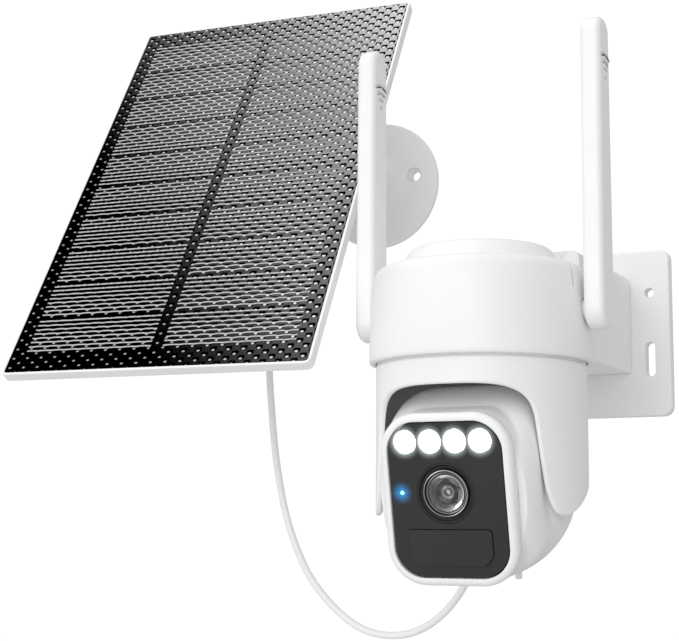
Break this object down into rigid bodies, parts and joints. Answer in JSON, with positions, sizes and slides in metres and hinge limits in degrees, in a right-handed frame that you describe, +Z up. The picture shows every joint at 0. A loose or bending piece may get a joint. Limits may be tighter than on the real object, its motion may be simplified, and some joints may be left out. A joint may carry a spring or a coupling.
{
  "type": "solar-powered security camera",
  "caption": "Wall-mounted pan and tilt camera with floodlights and folding antennas, fed by a tilting solar panel on its own wall bracket.",
  "frame": {"origin": "centre of the back face of the camera wall plate, where it meets the wall", "axes": "+X to the right of a viewer who faces the wall, +Y into the wall, +Z up"},
  "size_m": [0.2862, 0.1739, 0.3264],
  "materials": {
    "white_abs": "satin, finely moulded",
    "dark_abs": "matt",
    "black_abs": "satin black",
    "steel": "zinc plated",
    "motor_case": "nickel plated",
    "acetal": "natural acetal",
    "seal": "white silicone",
    "lead_sheath": "white PVC, semi-matt",
    "circuit_board": "solder mask",
    "battery_sleeve": "shrink sleeve",
    "light_lens": "frosted clear",
    "status_lens": "clear blue",
    "lens_black": "anodised black",
    "lens_glass": "coated glass",
    "solar_laminate": "embossed laminate over black cells",
    "card_plastic": "matt",
    "sensor_can": "metal can"
  },
  "bodies": {
    "root": {"arm_screw_left": "steel", "arm_screw_right": "steel", "battery_cell_1": "battery_sleeve", "battery_cell_2": "battery_sleeve", "battery_cradle": "dark_abs", "camera_gland": "seal", "cap_seal": "seal", "chassis_floor": "dark_abs", "housing_shell": "white_abs", "main_board": "circuit_board", "pan_bearing": "steel", "pan_motor": "motor_case", "solar_base": "white_abs", "solar_gland": "seal", "solar_lead": "lead_sheath", "swivel_pin": "steel", "top_cap": "white_abs", "wall_arm": "white_abs", "wall_plate": "white_abs"},
    "yoke": {"yoke_shell": "white_abs", "pan_gear": "acetal", "tilt_stub_left": "steel", "tilt_stub_right": "steel", "arm_cover_left": "dark_abs", "arm_cover_right": "dark_abs", "tilt_gear": "acetal"},
    "pan_pinion": {"pan_pinion": "acetal"},
    "head": {"camera_board": "circuit_board", "face_panel": "black_abs", "front_bezel": "white_abs", "head_shell": "white_abs", "lens_barrel": "lens_black", "lens_glass": "lens_glass", "lens_ring": "black_abs", "light_board": "circuit_board", "light_lens_1": "light_lens", "light_lens_2": "light_lens", "light_lens_3": "light_lens", "light_lens_4": "light_lens", "microphone": "motor_case", "motion_sensor": "sensor_can", "motion_window": "black_abs", "port_block": "dark_abs", "speaker": "dark_abs", "status_light": "status_lens", "tilt_motor": "motor_case", "memory_card": "card_plastic"},
    "tilt_pinion": {"tilt_pinion": "acetal"},
    "port_flap": {"port_flap": "white_abs"},
    "reset_button": {"reset_button": "seal"},
    "power_button": {"power_button": "seal"},
    "antenna_left": {"antenna_left": "white_abs"},
    "antenna_right": {"antenna_right": "white_abs"},
    "swivel": {"swivel_knuckle": "dark_abs"},
    "solar_panel": {"panel_frame": "white_abs", "panel_laminate": "solar_laminate", "panel_back": "white_abs", "hinge_box": "white_abs", "charge_board": "circuit_board", "pitch_pin": "steel"}
  },
  "joints": [
    {"name": "pan", "type": "hinge", "parent": "root", "child": "yoke", "pos_m": [0, -0.1184, -0.0258], "axis": [0, 0, 1], "range_deg": [-172, 168]},
    {"name": "pan_motor_turn", "type": "hinge", "parent": "root", "child": "pan_pinion", "pos_m": [0, -0.1424, -0.0178], "axis": [0, 0, 1], "range_deg": [-520, 520]},
    {"name": "tilt", "type": "hinge", "parent": "yoke", "child": "head", "pos_m": [0, -0.1184, -0.0763], "axis": [0.9994, 0.0349, 0], "range_deg": [-12, 78]},
    {"name": "tilt_motor_turn", "type": "hinge", "parent": "head", "child": "tilt_pinion", "pos_m": [0.02348, -0.10321, -0.07316], "axis": [0.9994, 0.0349, 0], "range_deg": [-200, 200]},
    {"name": "port_flap_hinge", "type": "hinge", "parent": "head", "child": "port_flap", "pos_m": [0.00177, -0.1117, -0.116], "axis": [0.9994, 0.0349, 0], "range_deg": [0, 100]},
    {"name": "reset_press", "type": "slide", "parent": "head", "child": "reset_button", "axis": [0.0075, -0.2136, 0.9769], "range_m": [0, 0.0006], "stiffness_N_per_m": 900},
    {"name": "power_press", "type": "slide", "parent": "head", "child": "power_button", "axis": [0.0075, -0.2136, 0.9769], "range_m": [0, 0.0006], "stiffness_N_per_m": 900},
    {"name": "antenna_left_hinge", "type": "hinge", "parent": "root", "child": "antenna_left", "pos_m": [-0.0527, -0.1181, -0.0048], "axis": [1, 0, 0], "range_deg": [-45, 90]},
    {"name": "antenna_right_hinge", "type": "hinge", "parent": "root", "child": "antenna_right", "pos_m": [0.0527, -0.1181, -0.0048], "axis": [1, 0, 0], "range_deg": [-45, 90]},
    {"name": "solar_swivel", "type": "hinge", "parent": "root", "child": "swivel", "pos_m": [-0.14902, -0.06097, 0.0632], "axis": [0, 0, 1], "range_deg": [-15, 4]},
    {"name": "solar_pitch", "type": "hinge", "parent": "swivel", "child": "solar_panel", "pos_m": [-0.1475, -0.0769, 0.0602], "axis": [0.9955, 0.095, 0], "range_deg": [-8, 32]}
  ],
  "couplings": [
    {"joint": "pan_motor_turn", "follows": "pan", "ratio": -3},
    {"joint": "tilt_motor_turn", "follows": "tilt", "ratio": 2.5}
  ]
}
